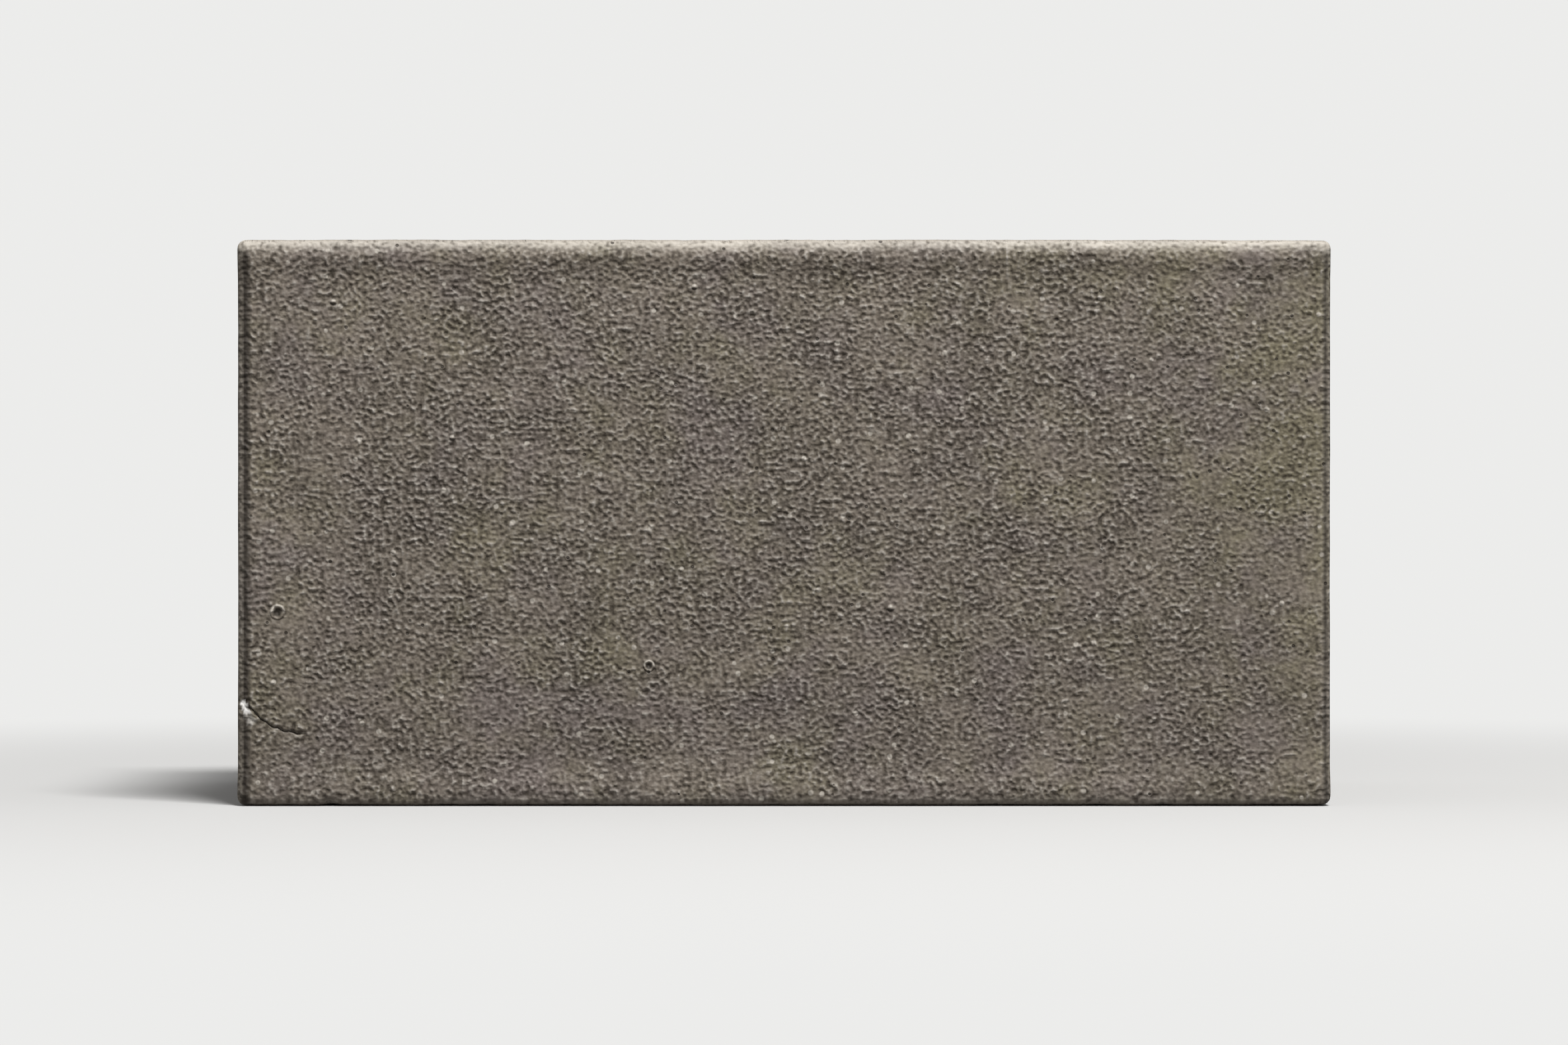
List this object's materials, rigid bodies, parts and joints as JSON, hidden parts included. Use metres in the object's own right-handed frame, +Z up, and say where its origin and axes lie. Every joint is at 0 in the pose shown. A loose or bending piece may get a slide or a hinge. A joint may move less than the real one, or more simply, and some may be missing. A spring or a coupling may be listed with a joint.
{
  "type": "facing brick",
  "caption": "Dark charcoal-brown facing brick of fired clay, with a fine stippled face, softened arrises and round cores that run from bed to bed.",
  "frame": {"origin": "middle of the lower bed, where the brick rests", "axes": "+X along the brick, +Y through it from the stretcher face to the back, +Z up"},
  "size_m": [0.23, 0.11, 0.119],
  "materials": {
    "fired_clay": "matte"
  },
  "bodies": {
    "root": {"brick": "fired_clay"}
  },
  "joints": []
}
